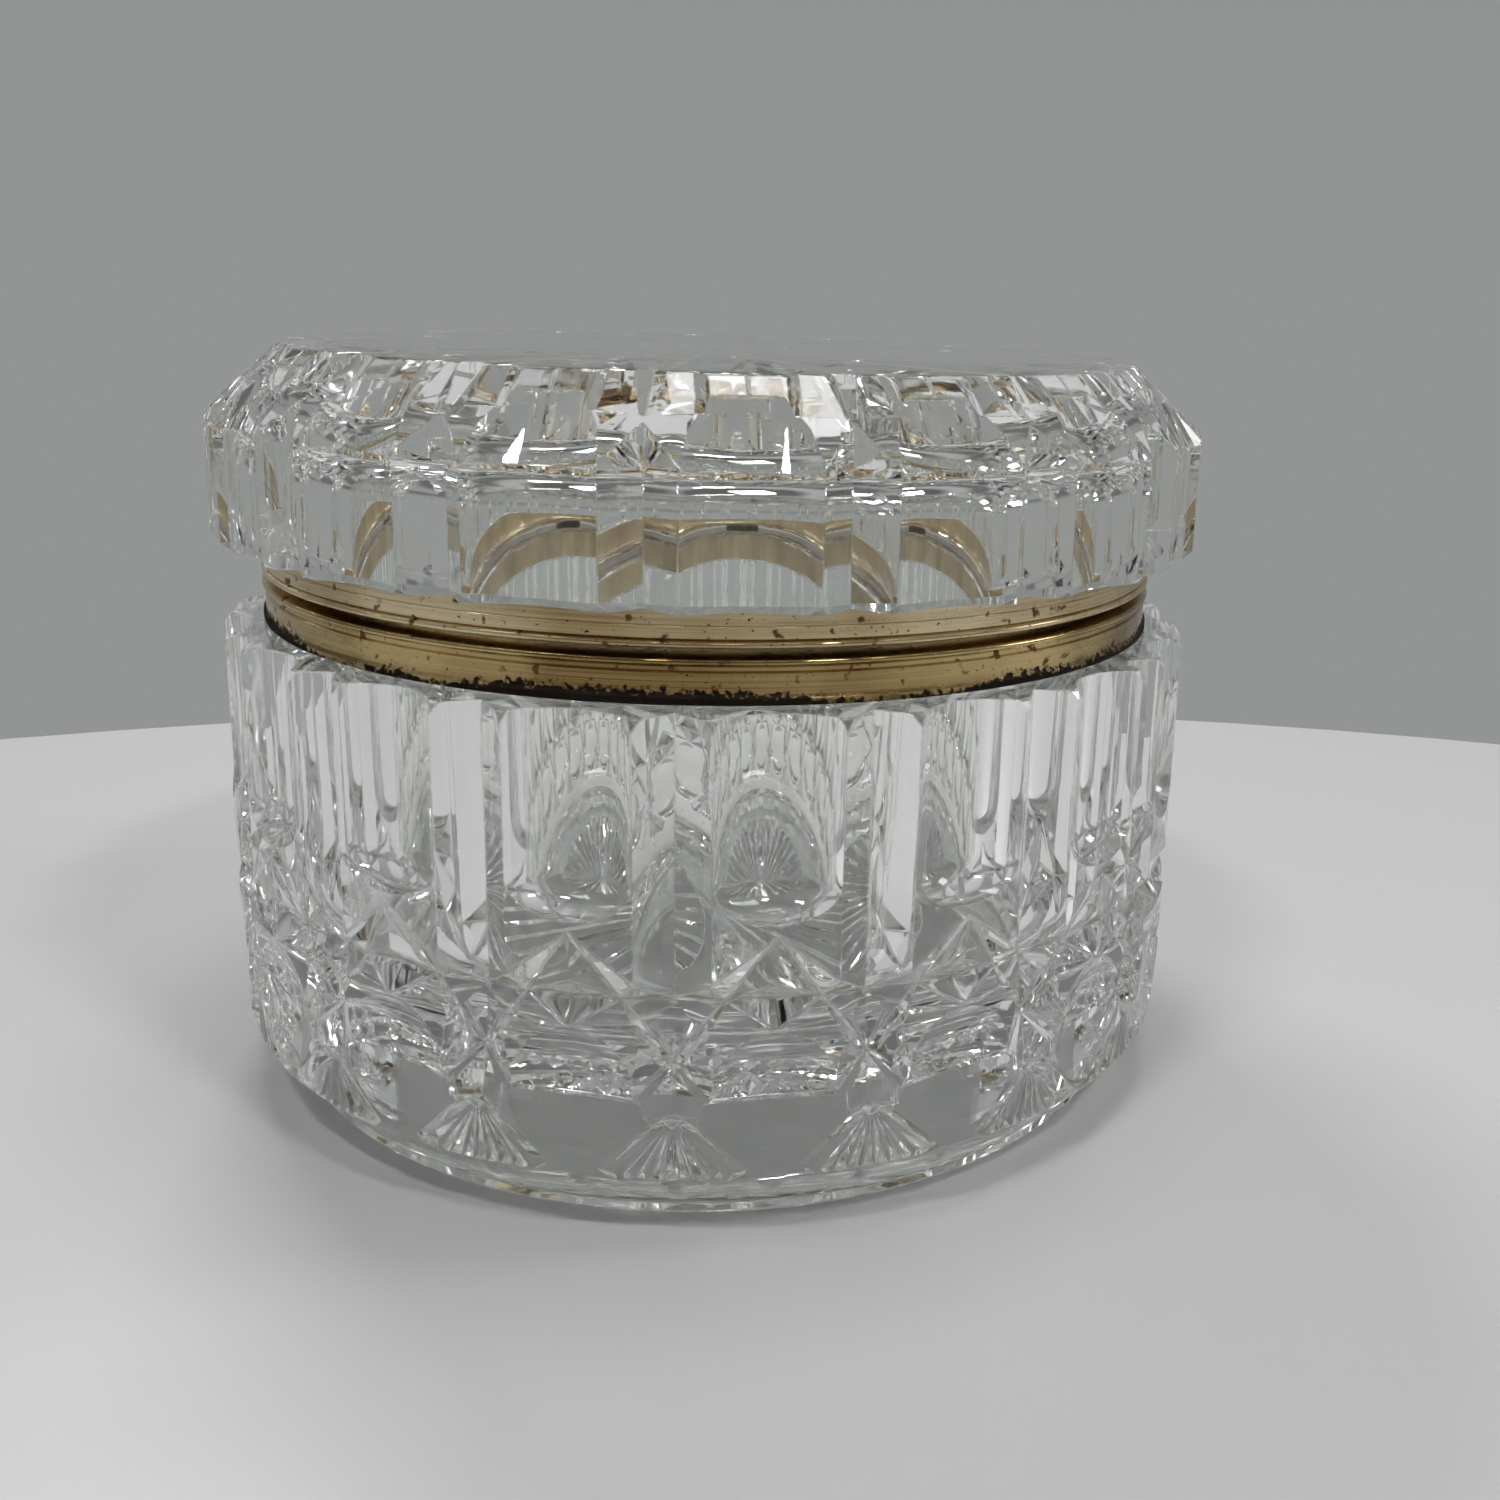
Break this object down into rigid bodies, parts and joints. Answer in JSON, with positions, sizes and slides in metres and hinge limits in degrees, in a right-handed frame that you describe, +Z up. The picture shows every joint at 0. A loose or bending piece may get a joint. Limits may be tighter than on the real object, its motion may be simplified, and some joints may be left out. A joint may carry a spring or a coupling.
{
  "type": "trinket box",
  "caption": "Round hinged vanity trinket box in cut crystal, with gilt brass collars joining the bowl and its lid.",
  "frame": {"origin": "centre of the foot, on the surface the box stands on", "axes": "+Z up through the lid, -Y to the front where the lid opens, +Y to the hinge, +X to the right of the box seen from the front"},
  "size_m": [0.1248, 0.1246, 0.0918],
  "materials": {
    "crystal": "polished cut lead crystal",
    "lid_crystal": "polished cut lead crystal",
    "gilt_brass": "worn gilt, finely brushed round, tarnished along the lower edge",
    "lid_gilt_brass": "worn gilt, finely brushed round",
    "hinge_brass": "dull gilt brass",
    "pin_brass": "bare brass wire with peened ends",
    "cement": "golden-brown setting cement with a dull lustre"
  },
  "bodies": {
    "base": {"base_crystal": "crystal", "base_cement_ring": "cement", "base_collar": "gilt_brass", "hinge_base_leaf": "hinge_brass", "hinge_pin": "pin_brass"},
    "lid": {"lid_crystal": "lid_crystal", "lid_cement_ring": "cement", "lid_collar": "lid_gilt_brass", "hinge_lid_leaf": "hinge_brass"}
  },
  "joints": [
    {"name": "lid_hinge", "type": "hinge", "parent": "base", "child": "lid", "pos_m": [0, 0.0594, 0.06425], "axis": [-1, 0, 0], "range_deg": [0, 100]}
  ]
}
